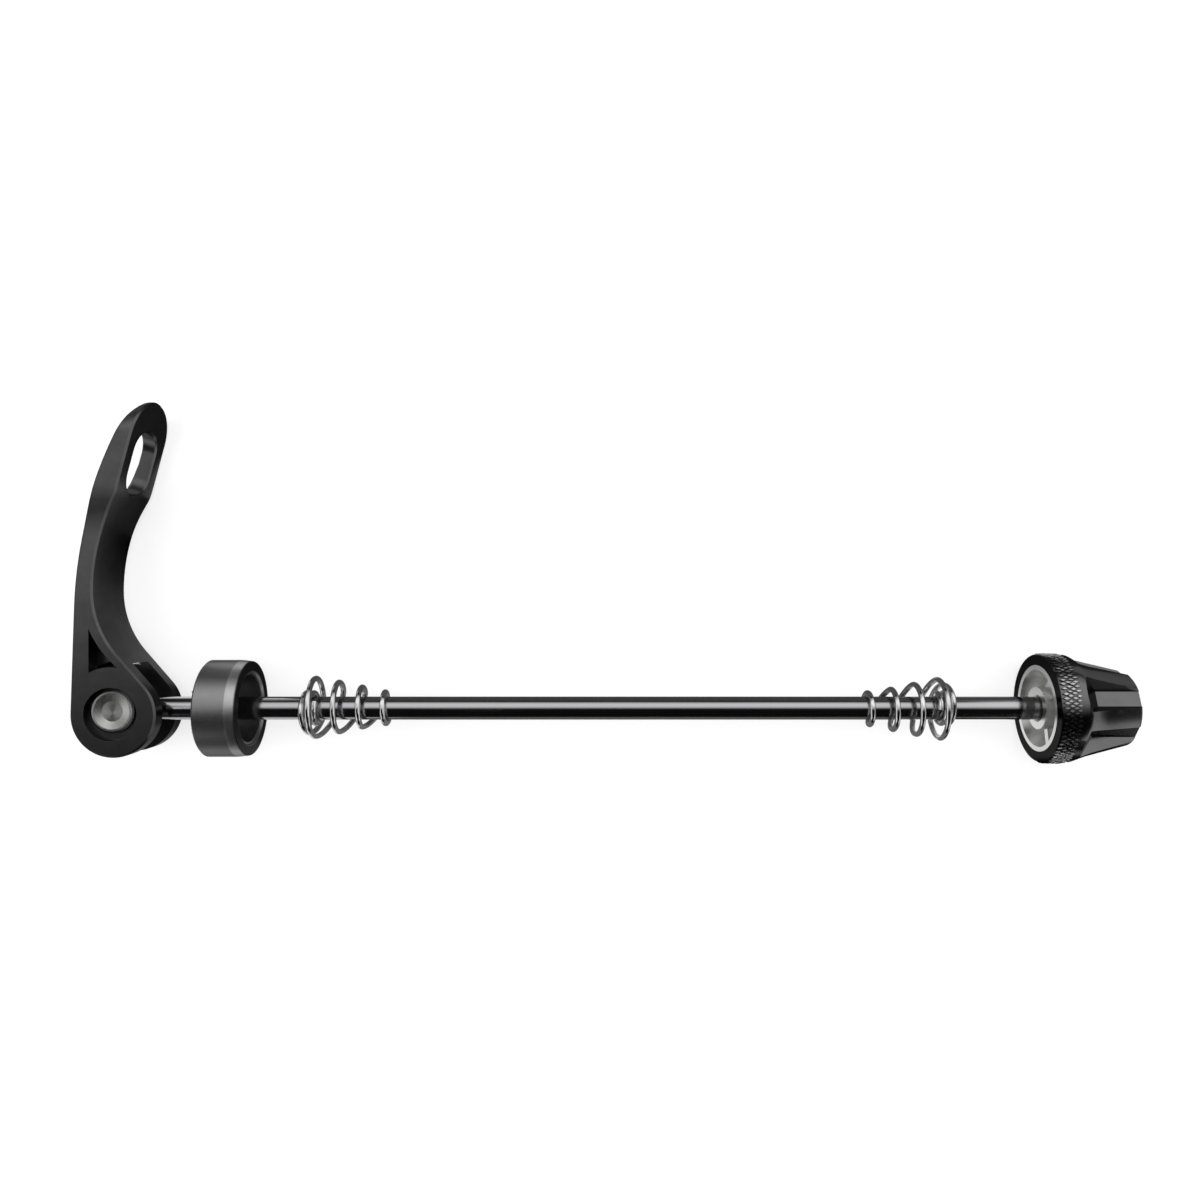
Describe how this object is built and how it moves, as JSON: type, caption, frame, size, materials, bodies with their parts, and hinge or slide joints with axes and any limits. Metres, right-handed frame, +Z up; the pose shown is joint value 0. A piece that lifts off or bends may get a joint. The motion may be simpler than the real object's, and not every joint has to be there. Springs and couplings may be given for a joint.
{
  "type": "bicycle quick-release skewer",
  "caption": "Bicycle quick-release skewer: a slim steel rod with a forked cam lever, a clamping cup, conical springs and a fluted adjusting nut.",
  "frame": {"origin": "on the rod's axis, midway between the cup's and the nut's clamping faces", "axes": "+X along the rod from the lever to the nut, +Z up from the floor the part lies on, +Y across it towards the closed lever's tip"},
  "size_m": [0.2252, 0.0781, 0.024],
  "materials": {
    "rod_steel": "polished dark bright steel",
    "barrel_steel": "turned bright steel",
    "lever_alloy": "black anodised, satin",
    "cup_alloy": "black anodised, satin",
    "seat_nylon": "moulded black nylon",
    "spring_steel": "bright drawn wire",
    "nut_black": "glossy black",
    "core_alloy": "bare cast metal",
    "lock_nylon": "plain nylon"
  },
  "bodies": {
    "skewer": {"skewer_rod": "rod_steel", "pivot_barrel": "barrel_steel"},
    "lever": {"cam_lever": "lever_alloy"},
    "cup": {"cam_cup": "cup_alloy", "cam_seat": "seat_nylon"},
    "lever_side_spring": {"spring_lever_side": "spring_steel"},
    "nut_side_spring": {"spring_nut_side": "spring_steel"},
    "nut_carrier": {"lock_ring": "lock_nylon"},
    "nut": {"nut_shell": "nut_black", "nut_core": "core_alloy"}
  },
  "joints": [
    {"name": "lever_swing", "type": "hinge", "parent": "skewer", "child": "lever", "pos_m": [-0.1126, 0, 0], "axis": [0, 0.0698, 0.9976], "range_deg": [0, 180]},
    {"name": "cup_slide", "type": "slide", "parent": "skewer", "child": "cup", "axis": [1, 0, 0], "range_m": [-0.0079, 0.002]},
    {"name": "lever_side_spring_slide", "type": "slide", "parent": "skewer", "child": "lever_side_spring", "axis": [1, 0, 0], "range_m": [-0.008, 0.05]},
    {"name": "nut_side_spring_slide", "type": "slide", "parent": "skewer", "child": "nut_side_spring", "axis": [1, 0, 0], "range_m": [-0.05, 0.0175]},
    {"name": "nut_travel", "type": "slide", "parent": "skewer", "child": "nut_carrier", "axis": [1, 0, 0], "range_m": [0, 0.00801]},
    {"name": "nut_spin", "type": "hinge", "parent": "nut_carrier", "child": "nut", "pos_m": [0.0947, 0, 0], "axis": [1, 0, 0], "range_deg": [0, 3600]}
  ],
  "couplings": [
    {"joint": "nut_travel", "follows": "nut_spin", "m_per_rad": 0.00012732}
  ]
}
